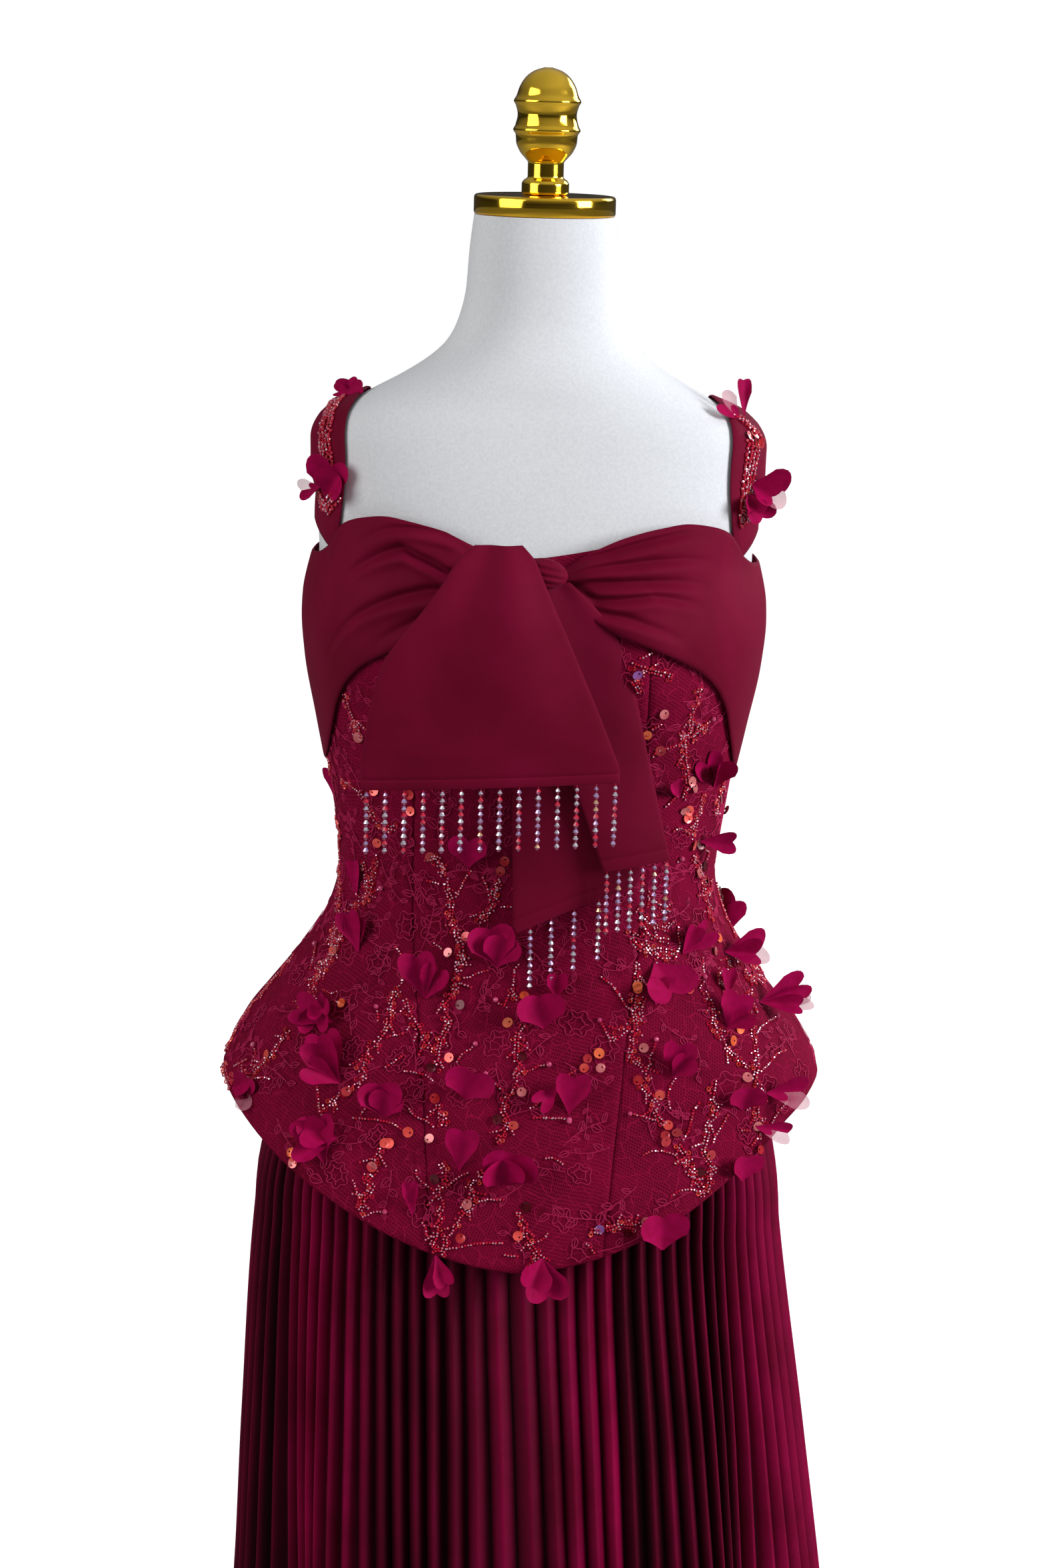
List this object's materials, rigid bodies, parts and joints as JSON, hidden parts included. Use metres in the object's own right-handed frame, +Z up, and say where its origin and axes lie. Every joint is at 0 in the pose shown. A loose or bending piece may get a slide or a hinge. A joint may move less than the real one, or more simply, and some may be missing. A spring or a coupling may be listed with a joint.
{
  "type": "evening gown on dress form",
  "caption": "Sleeveless evening gown with a lace corset bodice, flared peplum, knotted bust band with bead fringe and a pleated skirt, on a dress form.",
  "frame": {"origin": "middle of the underside of the stand's round base, on the floor", "axes": "+Z up along the stand, the gown's front faces -Y, +X to the right as seen from the front"},
  "size_m": [0.5894, 0.4607, 1.7031],
  "materials": {
    "lace": "corded floral lace over satin, wine red",
    "satin": "soft matte satin, wine red",
    "crystal": "faceted bicone beads with a rainbow coating",
    "form_cloth": "smooth pale grey stretch cover",
    "gold": "polished gold plate"
  },
  "bodies": {
    "root": {"form_body": "form_cloth", "neck_cap": "gold", "finial": "gold", "stand_base": "gold", "stand_pole": "gold", "bodice_centre_front": "lace", "bodice_side_front_right": "lace", "bodice_side_front_left": "lace", "bodice_side_back_right": "lace", "bodice_side_back_left": "lace", "bodice_back_right": "lace", "bodice_back_left": "lace", "back_zip": "satin", "skirt_front": "satin", "skirt_right": "satin", "skirt_back": "satin", "skirt_left": "satin", "band_right": "satin", "band_left": "satin", "knot": "satin", "tail_front": "satin", "tail_right": "satin", "tail_back": "satin", "fringe_front": "crystal", "fringe_right": "crystal", "fringe_back": "crystal", "strap_right": "satin", "strap_left": "satin"}
  },
  "joints": []
}
